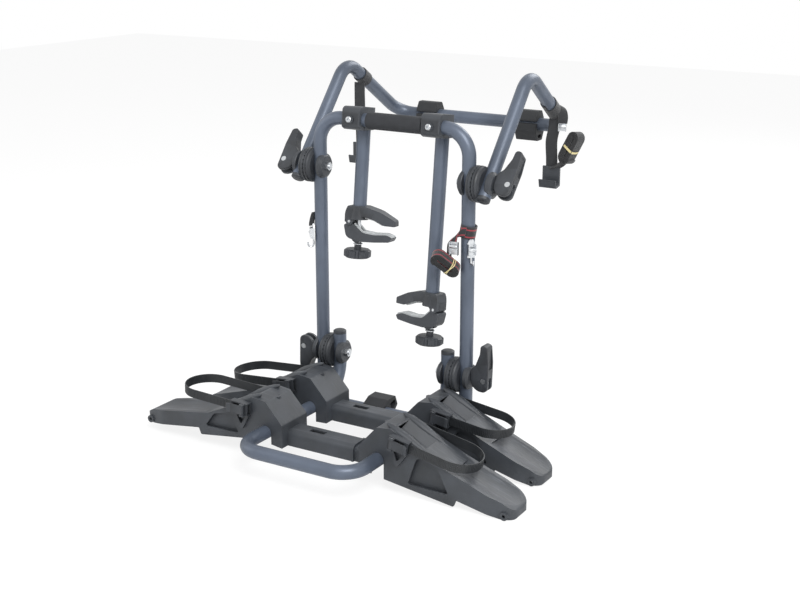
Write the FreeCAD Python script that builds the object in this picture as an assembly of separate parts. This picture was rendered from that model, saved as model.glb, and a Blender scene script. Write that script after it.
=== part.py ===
import FreeCAD, Part
import math
import os

# Tailgate bike rack for two bikes, standing as it does in the photograph.
# X runs across the car, +Y points at the car, +Z is up. Everything below is laid out
# from the middle of the lower hinge axis and moved onto the floor when it is saved.

V = FreeCAD.Vector
O = V(0, 0, 0)
X = V(1, 0, 0)
Y = V(0, 1, 0)
Z = V(0, 0, 1)

# Steel tube and the three bent frames
TUBE_R = 15.0
TUBE_WALL = 1.5
POST_X = 188.0
SIDE_STEP = 46.0
RAIL_X = POST_X - SIDE_STEP
LEG_X = POST_X + SIDE_STEP
UPPER_HINGE_H = 430.0
TOP_BAR_H = 541.0
LOW_BAR_DROP = 130.0
TOP_BEND_R = 58.0
LOW_BEND_R = 70.0
RAIL_DROP = 98.4
RAIL_FRONT_Y = -392.0
RAIL_TOP_H = 44.0
RAIL_BACK_BEND_R = 80.0
RAIL_FRONT_BEND_R = 52.0
APEX_Y = 180.0
APEX_RISE = 212.0
REAR_BAR_Y = 399.0
REAR_BAR_RISE = 66.0
REAR_BAR_X = 224.0
APEX_BEND_R = 48.0
REAR_BEND_R = 46.0
LEG_FOOT = 32.0
CAP_LENGTH = 9.0
CAP_PLUG = 14.0

# Clearances
RUN_GAP = 0.3
SEAT_GAP = 0.3
FIT_GAP = 0.05

# Toothed saddles, plain cups and the clamping bolts at the four hinges
SADDLE_R = 39.0
SADDLE_DEPTH = 16.0
TOOTH_COUNT = 24
TOOTH_DEPTH = 2.2
TOOTH_WIDTH = 3.4
TOOTH_INNER_R = 25.0
CUP_R = 28.0
CUP_START = 4.0
CUP_END = TUBE_R + 2.0
BOLT_R = 5.0
NUT_FLATS = 17.0
NUT_H = 8.0
PIN_R = 6.0
PIN_OUT = 48.0

# Cam levers
LEVER_W = 26.0
LEVER_CAM_R = PIN_OUT - CUP_END - SEAT_GAP
LEVER_OUT = 10.0
LEVER_TIP = 83.0
LEVER_BASE_TOP = 34.0
LEVER_SLOT_W = 2 * BOLT_R + 1.2

# Top bar fittings: foam sleeve, two brackets, two arms
ARM_LEFT_X = -93.0
ARM_RIGHT_X = 105.0
ARM_BACK = 36.0
ARM_LEAN = 6.5
CLAW_LEFT_H = 345.0         # height of the left claw over the lower hinge
CLAW_RIGHT_H = 178.0
ARM_LEFT_DROP = TOP_BAR_H - CLAW_LEFT_H
ARM_RIGHT_DROP = TOP_BAR_H - CLAW_RIGHT_H
BRACKET_W = 46.0
BRACKET_R = 22.5
BRACKET_RISE = 6.0
FOAM_R = 18.5
FOAM_GAP_LEFT = 11.0
FOAM_GAP_RIGHT = 3.0
BRACKET_BOLT_R = 6.5

# Claws, measured from the bottom of the arm with +X inwards
PIVOT_X = -17.0
PIVOT_DROP = 31.0
CLAW_HEAD_R = 30.0
CLAW_W = 34.0
JAW_W = 30.0
CLAW_YAW = 8.0
STEM_R = 5.0
WASHER_R = 11.0
KNOB_R = 31.0
KNOB_H = 20.0
KNOB_DROP = 72.0
KNOB_LOBES = 8
LINER_T = 3.0
ARM_END_LIFT = 14.0
ARM_RING_R = 17.5
ARM_RING_LIFT = 18.0
ARM_RING_T = 2.4
CAM_BOSS_R = 12.0
CAM_BOSS_DROP = 35.0

# Trays
TRAY_YS = (-248.0, -79.0)
TRAY_W = 92.0
TRAY_WALL = 3.0
TRAY_FLOOR = -165.0
TIP_RISE = 18.0
TIP_LUG_R = 8.5
TIP_LUG_HOLE = 3.6
TIPS = {"front_left": (490.0, 20.0), "front_right": (450.0, 0.0),
        "rear_left": (450.0, 8.0), "rear_right": (428.0, 2.0)}
FLANGE_X = 97.0
BEAM_W = 56.0
BEAM_TOP = -91.0
BEAM_LOW = -126.0
BEAM_END_X = 72.0
TONGUE_END_X = -22.0
TONGUE_GAP = 0.6
BOSS_R = 8.0
SCREW_R = 3.0

# Wheel straps and buckles
STRAP_T = 2.4
STRAP_H = 20.0
STRAP_START_X = 200.0
STRAP_Z = -50.0
STRAP_SWEEP = 7.0          # the bend is this much wider than half a tray
STRAP_BEND_R = TRAY_W / 2 + STRAP_SWEEP
STRAPS = {"front_left": (128.0, -2.5), "front_right": (106.0, 11.0),
          "rear_left": (122.0, 4.5), "rear_right": (90.0, 7.5)}
BUCKLE_L = 46.0
BUCKLE_D = 16.0
BUCKLE_H = 28.0
BUCKLE_WALL = 3.0
KNUCKLE_R = 4.2
BUCKLE_PIN_OUT = KNUCKLE_R + 0.6

# Rubber pads on the two cross bars
PAD_L = 54.0
PAD_R = 21.0
PAD_REACH = 50.0
PAD_BACK = PAD_R - 1
UPPER_PAD_REACH = 38.0
UPPER_PAD_BACK = 32.0
UPPER_PAD_X = 134.0
LOW_PAD_XS = (-45.0, 88.0)

# Webbing, hooks and buckles
WEB_W = 25.0
WEB_T = 2.0
POST_STRAP_SHARE = 0.74     # height as a share of the upper hinge's
POST_STRAP_H = UPPER_HINGE_H * POST_STRAP_SHARE
UPPER_STRAP_ALONGS = (0.30, 0.72)
UPPER_STRAP_HANGS = (164.0, 130.0)
HOOK_W = 42.0
CAM_BUCKLE_TURN = 50.0
CAM_BUCKLE_T = 2.4

PARTS = {}


def keep(name, shapes):
    """Store one sub-part, as one solid or a group of separate solids."""
    shapes = shapes if isinstance(shapes, list) else [shapes]
    solids = [s for shape in shapes for s in shape.Solids]
    whole = solids[0] if len(solids) == 1 else Part.makeCompound(solids)
    PARTS[name] = whole


def turned(profile, origin=O, direction=X):
    """Solid of revolution; the profile is a list of (along, radius)."""
    points = [V(along, 0, radius) for along, radius in profile]
    face = Part.Face(Part.makePolygon(points + points[:1]))
    solid = face.revolve(O, X, 360)
    solid.Placement = FreeCAD.Placement(origin, FreeCAD.Rotation(X, direction))
    return solid


def rounded_wire(corners, to_point):
    """Closed outline; corners are (a, b, radius), laid in a plane by to_point."""
    count = len(corners)
    flat = [V(a, b, 0) for a, b, radius in corners]
    edges = []
    previous = None
    first = None
    for i in range(count):
        here = flat[i]
        back = (flat[i - 1] - here).normalize()
        ahead = (flat[(i + 1) % count] - here).normalize()
        radius = corners[i][2]
        half = back.getAngle(ahead) / 2
        if half > math.radians(89.9):
            radius = 0
        if radius > 0:
            reach = radius / math.tan(half)
            start, end = here + back * reach, here + ahead * reach
            middle = (back + ahead).normalize()
            centre = here + middle * (radius / math.sin(half))
            top = centre - middle * radius
        else:
            start = end = here
        if previous is not None:
            edges.append((previous, start))
        else:
            first = start
        if radius > 0:
            edges.append((start, top, end))
        previous = end
    edges.append((previous, first))
    made = []
    for edge in edges:
        points = [to_point(p.x, p.y) for p in edge]
        if len(points) == 3:
            made.append(Part.Arc(*points).toShape())
        elif points[0].distanceToPoint(points[1]) > 1e-6:
            made.append(Part.makeLine(*points))
    return Part.Wire(made)


def prism_y(corners, width, middle=0.0):
    """Outline in the XZ plane pushed out along Y, centred on middle."""
    wire = rounded_wire(corners, lambda a, b: V(a, middle - width / 2, b))
    return Part.Face(wire).extrude(V(0, width, 0))


def prism_x(corners, width, middle=0.0):
    """Outline in the YZ plane pushed out along X, centred on middle."""
    wire = rounded_wire(corners, lambda a, b: V(middle - width / 2, a, b))
    return Part.Face(wire).extrude(V(width, 0, 0))


def prism_z(corners, height, low):
    """Outline in the XY plane pushed up from a height."""
    wire = rounded_wire(corners, lambda a, b: V(a, b, low))
    return Part.Face(wire).extrude(V(0, 0, height))


def block(low, high):
    return Part.makeBox(high[0] - low[0], high[1] - low[1], high[2] - low[2], V(*low))


def rod(radius, start, end):
    return Part.makeCylinder(radius, (end - start).Length, start, end - start)


def both_sides(shape):
    return [shape, shape.mirror(O, X)]


def ring_face(radius, wall, at, along):
    outer = Part.Face(Part.Wire(Part.makeCircle(radius, at, along)))
    if wall <= 0:
        return outer
    inner = Part.Face(Part.Wire(Part.makeCircle(radius - wall, at, along)))
    return outer.cut(inner).Faces[0]


def bent_tube(points, radii, radius=TUBE_R, wall=TUBE_WALL, closed=False):
    """Round tube on straight runs joined by tangent bends."""
    count = len(points)
    pieces = []
    bends = {}
    corners = range(count) if closed else range(1, count - 1)
    for i in corners:
        into = (points[i] - points[i - 1]).normalize()
        out = (points[(i + 1) % count] - points[i]).normalize()
        turn = into.getAngle(out)
        reach = radii[i] * math.tan(turn / 2)
        start, end = points[i] - into * reach, points[i] + out * reach
        axis = into.cross(out).normalize()
        centre = start + axis.cross(into) * radii[i]
        bends[i] = (start, end)
        face = ring_face(radius, wall, start, into)
        pieces.append(face.revolve(centre, axis, math.degrees(turn)))
    runs = count if closed else count - 1
    for i in range(runs):
        following = (i + 1) % count
        start = bends[i][1] if i in bends else points[i]
        end = bends[following][0] if following in bends else points[following]
        face = ring_face(radius, wall, start, end - start)
        pieces.append(face.extrude(end - start))
    return pieces[0].multiFuse(pieces[1:]).removeSplitter()


def leg_direction():
    return V(0, APEX_Y, APEX_RISE).normalize()


LEG_TILT = -math.degrees(math.atan2(APEX_Y, APEX_RISE))
UPPER_HINGE = V(0, 0, UPPER_HINGE_H)


def tilt(shape, degrees, about=O):
    return shape.rotated(about, X, degrees)


# Bent tubes

def platform_run(radius, wall, top=RAIL_TOP_H):
    """The platform's bent line as a tube of any radius."""
    level = -RAIL_DROP
    points = [V(-RAIL_X, 0, top), V(-RAIL_X, 0, level), V(-RAIL_X, RAIL_FRONT_Y, level),
              V(RAIL_X, RAIL_FRONT_Y, level), V(RAIL_X, 0, level), V(RAIL_X, 0, top)]
    radii = [0, RAIL_BACK_BEND_R, RAIL_FRONT_BEND_R, RAIL_FRONT_BEND_R, RAIL_BACK_BEND_R, 0]
    return bent_tube(points, radii, radius, wall)


def platform_tube():
    """U of tube that carries the trays; its ends turn up to the lower hinges."""
    tube = platform_run(TUBE_R, TUBE_WALL)
    hole = rod(BOLT_R + RUN_GAP, V(-POST_X, 0, 0), V(POST_X, 0, 0))
    tube = tube.cut(hole)
    for y in TRAY_YS:
        for x in (-RAIL_X, RAIL_X):
            z = rail_height(y)
            tube = tube.cut(rod(SCREW_R + RUN_GAP, V(x, y, z - 2 * TUBE_R), V(x, y, z + 2 * TUBE_R)))
    return tube


def rail_height(y):
    """Height of the side rail's centre line at a place along it."""
    run = y + RAIL_BACK_BEND_R
    if run <= 0:
        return -RAIL_DROP
    return -RAIL_DROP + RAIL_BACK_BEND_R - math.sqrt(RAIL_BACK_BEND_R ** 2 - run ** 2)


def main_tube():
    """Closed loop: two posts, the top bar and the bottom bar."""
    points = [V(-POST_X, 0, -LOW_BAR_DROP), V(POST_X, 0, -LOW_BAR_DROP),
              V(POST_X, 0, TOP_BAR_H), V(-POST_X, 0, TOP_BAR_H)]
    radii = [LOW_BEND_R, LOW_BEND_R, TOP_BEND_R, TOP_BEND_R]
    tube = bent_tube(points, radii, closed=True)
    reach = V(LEG_X, 0, 0)
    for height in (O, UPPER_HINGE):
        tube = tube.cut(rod(BOLT_R + RUN_GAP, height - reach, height + reach))
    return tube


def upper_points():
    foot = V(LEG_X, 0, UPPER_HINGE_H) - leg_direction() * LEG_FOOT
    apex = V(LEG_X, APEX_Y, UPPER_HINGE_H + APEX_RISE)
    rear = V(REAR_BAR_X, REAR_BAR_Y, UPPER_HINGE_H + REAR_BAR_RISE)
    right = [foot, apex, rear]
    left = [V(-p.x, p.y, p.z) for p in reversed(right)]
    return right + left


def upper_tube():
    """Hooped leg frame that reaches over the car and ends in the rear bar."""
    radii = [0, APEX_BEND_R, REAR_BEND_R, REAR_BEND_R, APEX_BEND_R, 0]
    tube = bent_tube(upper_points(), radii)
    reach = V(2 * LEG_X, 0, 0)
    return tube.cut(rod(BOLT_R + RUN_GAP, UPPER_HINGE - reach, UPPER_HINGE + reach))


def end_cap(at, along):
    """Domed plastic plug pushed into an open tube end."""
    bore = TUBE_R - TUBE_WALL - FIT_GAP
    dome = 3.0
    profile = [(-CAP_PLUG, 0), (-CAP_PLUG, bore), (0, bore), (0, TUBE_R),
               (CAP_LENGTH - dome, TUBE_R), (CAP_LENGTH - 0.8, TUBE_R - dome),
               (CAP_LENGTH, TUBE_R - 3 * dome), (CAP_LENGTH, 0)]
    return turned(profile, at, along)


# Hinge parts, drawn for the right-hand side and mirrored for the left

def saddle(groove=None):
    """Toothed disc; its face is at x = 0 and its back hugs a tube."""
    r = SADDLE_R
    face = RUN_GAP / 2
    profile = [(face, BOLT_R + RUN_GAP), (face, r - 3), (face + 2.5, r), (face + 5.5, r),
               (face + 6.5, r - 1.5), (face + 8, r - 1.5), (face + 9, r - 0.5),
               (face + 12, r - 2), (SADDLE_DEPTH, r - 8), (SADDLE_DEPTH, BOLT_R + RUN_GAP)]
    body = turned(profile)
    half = SIDE_STEP / 2
    body = body.cut(groove or rod(TUBE_R + SEAT_GAP, V(half, 0, -2 * r), V(half, 0, 2 * r)))
    cutter = Part.makePolygon([V(0, -TOOTH_WIDTH / 2, TOOTH_INNER_R), V(0, TOOTH_WIDTH / 2, TOOTH_INNER_R),
                               V(face + TOOTH_DEPTH, 0, TOOTH_INNER_R),
                               V(0, -TOOTH_WIDTH / 2, TOOTH_INNER_R)])
    groove = Part.Face(cutter).extrude(V(0, 0, 2 * r))
    grooves = [groove.rotated(O, X, 360.0 * i / TOOTH_COUNT) for i in range(TOOTH_COUNT)]
    return body.cut(grooves)


def cup(groove=None):
    """Plain cup that backs a tube; the tube's axis passes through x = 0."""
    profile = [(CUP_START, BOLT_R + RUN_GAP), (CUP_START, CUP_R - 1), (CUP_START + 1.5, CUP_R),
               (CUP_END - 5, CUP_R), (CUP_END, CUP_R - 6), (CUP_END, BOLT_R + RUN_GAP)]
    body = turned(profile)
    return body.cut(groove or rod(TUBE_R + SEAT_GAP, V(0, 0, -2 * CUP_R), V(0, 0, 2 * CUP_R)))


def hex_nut(at):
    """Nut with its near face at a place and its body along +X."""
    flat = NUT_FLATS / math.sqrt(3)
    ring = [V(0, flat * math.cos(math.radians(60 * i)), flat * math.sin(math.radians(60 * i)))
            for i in range(7)]
    body = Part.Face(Part.makePolygon(ring)).extrude(V(NUT_H, 0, 0))
    body = body.cut(rod(BOLT_R + FIT_GAP, V(-1, 0, 0), V(NUT_H + 1, 0, 0)))
    return body.translated(at)


def hinge_hardware(inner_x, outer_x):
    """Bolt, nut and the cross pin that the cam lever turns on, at hinge height zero."""
    nut_x = inner_x - CUP_END - SEAT_GAP - NUT_H
    pin_x = outer_x + PIN_OUT
    bolt = rod(BOLT_R, V(nut_x - 2.5, 0, 0), V(pin_x, 0, 0))
    pin = rod(PIN_R, V(pin_x, -LEVER_W / 2, 0), V(pin_x, LEVER_W / 2, 0))
    pin = pin.cut(rod(BOLT_R + FIT_GAP, V(nut_x, 0, 0), V(pin_x + 0.2, 0, 0)))
    return [bolt, hex_nut(V(nut_x, 0, 0)), pin]


def cam_lever():
    """Forked cam and blade; it turns on a pin along Y through its origin."""
    r = LEVER_CAM_R - 0.2
    low = -(r - 4.5)
    corners = [(-r, low, r - 4.5), (-r, 22, 5), (-19, LEVER_BASE_TOP, 9), (-9, 60, 20),
               (-7, LEVER_TIP, 7), (LEVER_OUT - 1, LEVER_TIP - 5, 7), (LEVER_OUT + 2, 40, 30),
               (LEVER_OUT, low, 12)]
    body = prism_y(corners, LEVER_W)
    slot = block((-2 * r, -LEVER_SLOT_W / 2, -2 * r), (LEVER_OUT + 9, LEVER_SLOT_W / 2, LEVER_SLOT_W / 2))
    hole = rod(PIN_R + RUN_GAP, V(0, -LEVER_W, 0), V(0, LEVER_W, 0))
    grip = block((LEVER_OUT - 1, -LEVER_W / 2 + 5, 26), (LEVER_OUT + 9, LEVER_W / 2 - 5, LEVER_TIP - 14))
    body = body.cut([slot, hole, grip])
    long_edges = [e for e in body.Edges if abs(e.CenterOfMass.y) > LEVER_W / 2 - 0.01
                  and e.CenterOfMass.z > LEVER_BASE_TOP - 12 and e.CenterOfMass.x > -LEVER_CAM_R + 3]
    return body.makeFillet(2.0, long_edges)


# Brackets, arms and claws

def bracket(side):
    """Moulded clamp: a sleeve on the top bar and a lobe behind it for the arm."""
    half = BRACKET_W / 2
    lobe_r = TUBE_R + 5.5
    plan = [(-half, -BRACKET_R, 4), (half, -BRACKET_R, 4), (half, 12, 4), (lobe_r + 1, ARM_BACK, 14),
            (lobe_r - 3, ARM_BACK + lobe_r, 15), (-lobe_r + 3, ARM_BACK + lobe_r, 15),
            (-lobe_r - 1, ARM_BACK, 14), (-half, 12, 4)]
    top = BRACKET_R + BRACKET_RISE
    cover = prism_z(plan, top + 23, -23)
    section = [(-BRACKET_R, -16, 12), (-BRACKET_R, top, 16), (ARM_BACK + lobe_r + 1, top - 3, 10),
               (ARM_BACK + lobe_r + 1, -22.9, 3), (14, -22.9, 3), (-8, -BRACKET_R, 8)]
    cover = cover.common(prism_x(section, 3 * BRACKET_W))
    boss = rod(9.0, V(0, -BRACKET_R - 2, 0), V(0, -10, 0))
    cover = cover.fuse(boss)
    bar = rod(TUBE_R + RUN_GAP, V(-BRACKET_W, 0, 0), V(BRACKET_W, 0, 0))
    arm = rod(TUBE_R + FIT_GAP, V(0, ARM_BACK, -60), V(0, ARM_BACK, 12))
    split = block((-half - 1, -1, -40), (half + 1, 1, -10))
    screw = rod(4.0 + FIT_GAP, V(0, -40, 0), V(0, 0, 0))
    return cover.cut([bar, arm, split, screw])


def bracket_bolt():
    head = turned([(0, 0), (0, BRACKET_BOLT_R), (6, BRACKET_BOLT_R), (6.8, BRACKET_BOLT_R - 1), (6.8, 0)],
                  V(0, -BRACKET_R - 2 - SEAT_GAP, 0), V(0, -1, 0))
    shank = rod(4.0, V(0, -BRACKET_R - 2 - SEAT_GAP, 0), V(0, -TUBE_R - RUN_GAP, 0))
    socket = rod(3.0, V(0, -60, 0), V(0, -BRACKET_R - 5, 0))
    return head.fuse(shank).cut(socket)


def arm_tube(drop):
    start = V(0, ARM_BACK, 12 - SEAT_GAP)
    end = V(0, ARM_BACK, -drop - PIVOT_DROP + ARM_END_LIFT + RUN_GAP)
    tube = ring_face(TUBE_R, TUBE_WALL, start, end - start).extrude(end - start)
    low = V(0, ARM_BACK, -drop - PIVOT_DROP + ARM_RING_LIFT)
    ring = ring_face(ARM_RING_R, ARM_RING_R - TUBE_R + 1, low, Z).extrude(V(0, 0, ARM_RING_T))
    return tube.fuse(ring)


UPPER_JAW = [(-30, -3, 3), (-30, 16, 14), (-22, 35, 5), (18, 36, 8), (55, 27, 60), (91, 10, 7),
             (93, -3, 3), (66, -3, 18), (40, 9, 26), (10, 14, 24), (-8, 1, 4)]
LOWER_JAW = [(-31, -7, 5), (-8, -5, 4), (14, -24, 26), (42, -26, 40), (72, -23, 14), (87, -28, 3),
             (81, -38, 5), (44, -42, 60), (10, -44, 20), (-24, -37, 16)]


def offset_jaw(corners):
    """Jaw outlines are measured from the pivot's height; bring them to the arm's end."""
    return [(a, b - PIVOT_DROP, radius) for a, b, radius in corners]


def claw_body():
    """Upper jaw with the socket that turns on the arm."""
    body = prism_y(offset_jaw(UPPER_JAW), CLAW_W)
    collar = turned([(0, 0), (0, TUBE_R + 3.5), (26, CLAW_W / 2 + 4), (26, 0)], V(0, 0, 0), V(0, 0, -1))
    body = body.fuse(collar)
    plan = [(-34, -CLAW_W / 2 - 4, 20), (22, -CLAW_W / 2 - 4, 12), (60, -14, 40), (94, -11, 8),
            (94, 11, 8), (60, 14, 40), (22, CLAW_W / 2 + 4, 12), (-34, CLAW_W / 2 + 4, 20)]
    body = body.common(prism_z(plan, 80, -75))
    socket = rod(TUBE_R + RUN_GAP, V(0, 0, -PIVOT_DROP + ARM_END_LIFT), V(0, 0, 10))
    ring_low = -PIVOT_DROP + ARM_RING_LIFT - RUN_GAP
    room = rod(ARM_RING_R + RUN_GAP, V(0, 0, ring_low), V(0, 0, ring_low + ARM_RING_T + 2 * RUN_GAP))
    socket = socket.fuse(room)
    pin = rod(3.0 + FIT_GAP, V(PIVOT_X, -40, -PIVOT_DROP), V(PIVOT_X, 40, -PIVOT_DROP))
    ears = block((PIVOT_X - 9, -9, -PIVOT_DROP - 20), (PIVOT_X + 9, 9, -PIVOT_DROP + 9))
    stem = rod(STEM_R + FIT_GAP, V(0, 0, -PIVOT_DROP - 60), V(0, 0, -PIVOT_DROP + ARM_END_LIFT + 1))
    return body, socket, pin, ears, stem


def pieces_of_claw():
    """All the pieces of one claw in its own frame, as a dictionary."""
    body, socket, pin, ears, stem = claw_body()
    lug = rod(8.5, V(PIVOT_X, -CLAW_W / 2, -PIVOT_DROP), V(PIVOT_X, CLAW_W / 2, -PIVOT_DROP))
    body = body.fuse(lug).cut([socket, ears, pin, stem])
    upper_liner = prism_y(offset_jaw(liner_outline(UPPER_LINE, -LINER_T)), JAW_W - 10)
    upper_liner = upper_liner.cut(body)
    upper_liner = max(upper_liner.Solids, key=lambda s: s.Volume)
    jaw = prism_y(offset_jaw(LOWER_JAW), JAW_W)
    knuckle = rod(8.5, V(PIVOT_X, -8.5, -PIVOT_DROP), V(PIVOT_X, 8.5, -PIVOT_DROP))
    clear = [rod(9.2, V(PIVOT_X, s * 8.7, -PIVOT_DROP), V(PIVOT_X, s * 40, -PIVOT_DROP)) for s in (-1, 1)]
    boss_z = -PIVOT_DROP - CAM_BOSS_DROP
    boss = rod(CAM_BOSS_R, V(0, -CAM_BOSS_R, boss_z), V(0, CAM_BOSS_R, boss_z))
    jaw = jaw.cut(clear).fuse([knuckle, boss])
    slot = prism_z([(-11, -STEM_R - 0.8, 3), (17, -STEM_R - 0.8, 3), (17, STEM_R + 0.8, 3),
                    (-11, STEM_R + 0.8, 3)], 120, -PIVOT_DROP - 90)
    jaw = jaw.cut([slot, pin])
    jaw = max(jaw.Solids, key=lambda s: s.Volume)
    lower_liner = prism_y(offset_jaw(liner_outline(LOWER_LINE, LINER_T)), JAW_W - 8).cut([jaw, slot])
    lower_liner = max(lower_liner.Solids, key=lambda s: s.Volume)
    knob_top = -PIVOT_DROP - KNOB_DROP + KNOB_H / 2
    stem_rod = rod(STEM_R, V(0, 0, -PIVOT_DROP + ARM_END_LIFT - 1), V(0, 0, knob_top - KNOB_H - 3))
    pin_rod = rod(3.0, V(PIVOT_X, -CLAW_W / 2 - 1, -PIVOT_DROP), V(PIVOT_X, CLAW_W / 2 + 1, -PIVOT_DROP))
    jaw_low = boss_z - CAM_BOSS_R
    washer = turned([(0, STEM_R + RUN_GAP), (0, 7), (2.5, WASHER_R), (4, WASHER_R), (4, STEM_R + RUN_GAP)],
                    V(0, 0, jaw_low - RUN_GAP), V(0, 0, -1))
    neck_top = jaw_low - RUN_GAP - 4 - RUN_GAP
    return {"body": body, "upper_liner": upper_liner, "jaw": jaw, "lower_liner": lower_liner,
            "hardware": [stem_rod, pin_rod], "washer": washer, "knob": knob(knob_top, neck_top)}


UPPER_LINE = [(-7, 1), (10, 13.2), (40, 8.5), (62, -1)]
LOWER_LINE = [(-6, -5), (14, -22.5), (42, -25), (70, -23), (85, -27)]


def liner_outline(line, thick):
    """Thin strip that follows the inner edge of a jaw."""
    inner = [(a, b, 3 if 0 < i < len(line) - 1 else 0) for i, (a, b) in enumerate(line)]
    outer = [(a, b + thick, 6 if 0 < i < len(line) - 1 else 1) for i, (a, b) in enumerate(line)]
    return [(a, b - thick, 0) for a, b, radius in inner] + list(reversed(outer))


def knob(top, neck_top):
    """Lobed hand knob with a raised neck and a hollow underside."""
    body = turned([(0, 0), (0, KNOB_R - 5), (4, KNOB_R), (KNOB_H - 4, KNOB_R),
                   (KNOB_H, KNOB_R - 6), (KNOB_H, 0)],
                  V(0, 0, top), V(0, 0, -1))
    scoops = []
    for i in range(KNOB_LOBES):
        angle = math.radians(360.0 * (i + 0.5) / KNOB_LOBES)
        reach = KNOB_R + 0.5
        foot = V(reach * math.cos(angle), reach * math.sin(angle), top - 2 * KNOB_H)
        scoops.append(rod(5.0, foot, foot + V(0, 0, 4 * KNOB_H)))
    neck = rod(8.0, V(0, 0, top - 3), V(0, 0, neck_top))
    bore = rod(STEM_R + RUN_GAP, V(0, 0, top - 3 * KNOB_H), V(0, 0, neck_top + 10))
    return body.cut(scoops).fuse(neck).cut(bore)


def place_claw(shape, x, drop, inwards):
    """From the claw's own frame to the rack: yaw, hang on the arm, lean with it."""
    yaw = CLAW_YAW if inwards > 0 else 180 - CLAW_YAW
    placed = shape.rotated(O, Z, yaw).translated(V(x, ARM_BACK, -drop))
    return lean(placed)


def lean(shape):
    """Arms hang from the top bar and lean away from the car."""
    return tilt(shape, -ARM_LEAN).translated(V(0, 0, TOP_BAR_H))


# Trays

def tray_top(tip, lift):
    """Upper outline of a tray half, from the tower to the tip of the wing."""
    return [(FLANGE_X, -76, 5), (140, -29, 7), (174, -25, 10), (246, -62, 16), (300, -86, 40),
            (tip - 26, TRAY_FLOOR + 35 + 0.9 * lift, 30), (tip, TRAY_FLOOR + TIP_RISE + lift, 9)]


def tray_bottom(tip, lift):
    """Lower outline of a tray half, from the tip back to the tower."""
    low = TRAY_FLOOR + lift
    return [(tip, low, 5), (tip - 28, low, 8), (326, low + 19, 3), (320, low + 4, 4), (160, low + 26, 3),
            (FLANGE_X, -128, 2)]


def tray_shell(tip, lift):
    """Wheel support for the right-hand side, centred on y = 0, open underneath."""
    upper = tray_top(tip, lift)
    solid = prism_y(upper + tray_bottom(tip, lift), TRAY_W)
    half = TRAY_W / 2
    plan = [(FLANGE_X - 1, -half, 0), (tip - 56, -half, 60), (tip, -half + 12, 26), (tip, half - 12, 26),
            (tip - 56, half, 60), (FLANGE_X - 1, half, 0)]
    solid = solid.common(prism_z(plan, 300, -250))
    ramp = math.degrees(math.atan2(-62 + 25, 246 - 174))
    slope = math.degrees(math.atan2(upper[5][1] + 86, upper[5][0] - 300))
    vee = wheel_vee(0.0).rotated(V(174, 0, -25), Y, -ramp)
    trough = wing_trough(0.0).rotated(V(300, 0, -86), Y, -slope)
    hollow_top = [(a + (TRAY_WALL if a == FLANGE_X else 0) - (TRAY_WALL if a == tip else 0),
                   b - 1.15 * TRAY_WALL, radius) for a, b, radius in upper]
    hollow = prism_y(hollow_top + [(tip - TRAY_WALL, -300, 0), (FLANGE_X + TRAY_WALL, -300, 0)],
                     TRAY_W - 2 * TRAY_WALL)
    inner_plan = [(FLANGE_X - 1, -half + TRAY_WALL, 0), (tip - 58, -half + TRAY_WALL, 58),
                  (tip - TRAY_WALL, -half + 12 + TRAY_WALL, 23),
                  (tip - TRAY_WALL, half - 12 - TRAY_WALL, 23), (tip - 58, half - TRAY_WALL, 58),
                  (FLANGE_X - 1, half - TRAY_WALL, 0)]
    hollow = hollow.common(prism_z(inner_plan, 300, -320))
    hollow = hollow.cut(wheel_vee(TRAY_WALL).rotated(V(174, 0, -25), Y, -ramp))
    hollow = hollow.cut(wing_trough(TRAY_WALL).rotated(V(300, 0, -86), Y, -slope))
    shell = solid.cut([hollow, vee, trough])
    arch = [(214, -136 + lift, 4), (236, -72, 14), (282, -84, 16), (308, -138 + lift, 4)]
    arch = prism_y(arch, 3 * TRAY_W)
    shell = shell.cut(arch)
    for s in (-1, 1):
        panel = block((206, s * (half - 12) - 1.2, -160), (316, s * (half - 12) + 1.2, -60))
        shell = shell.fuse(panel.common(solid).cut(vee).cut(trough))
    lug_x, lug_z = tip - 20, TRAY_FLOOR + lift + TIP_LUG_R
    lug = rod(TIP_LUG_R, V(lug_x, -half + 3, lug_z), V(lug_x, -half + 13, lug_z))
    return shell.fuse(lug).cut(rod(TIP_LUG_HOLE, V(lug_x, -half, lug_z), V(lug_x, -half + 20, lug_z)))


def wheel_vee(grow):
    """V groove that the tyre climbs, along the ramp from the tower's top."""
    wide, deep = 25.0 + 1.4 * grow, 15.0 + grow
    corners = [(-wide, 2 + grow, 0), (wide, 2 + grow, 0), (5, -deep, 0), (-5, -deep, 0)]
    return prism_x(corners, 74.0, 174 + 4 + 37).translated(V(0, 0, -25))


def wing_trough(grow):
    """Shallow channel along the wing; the seam of its round face is turned to the top."""
    radius = 120.0 + grow
    centre = V(312, 0, radius - 5.5 - grow - 86)
    return rod(radius, centre, centre + V(220, 0, 0)).rotated(centre, X, 150)


def rail_slot(y, at, thick):
    """Cut-out that lets a tray sit over a side rail of the platform."""
    height = rail_height(at)
    radius = TUBE_R + SEAT_GAP
    return block((RAIL_X - radius, at - thick, -300), (RAIL_X + radius, at + thick, height))


def tray_boss(y):
    """Screw boss that drops from the tower's roof onto the rail."""
    seat = rail_height(y) + TUBE_R + SEAT_GAP
    boss = rod(BOSS_R, V(RAIL_X, y, seat), V(RAIL_X, y, -30))
    return boss.cut(rod(SCREW_R + FIT_GAP, V(RAIL_X, y, seat - 1), V(RAIL_X, y, seat + 32)))


def tray_half(y, tip, lift):
    half = TRAY_W / 2
    shell = tray_shell(tip, lift).translated(V(0, y, 0))
    cuts = [rail_slot(y, y - half, 12), rail_slot(y, y + half, 12), platform_run(TUBE_R + SEAT_GAP, 0)]
    return shell.cut(cuts).fuse(tray_boss(y))


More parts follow.
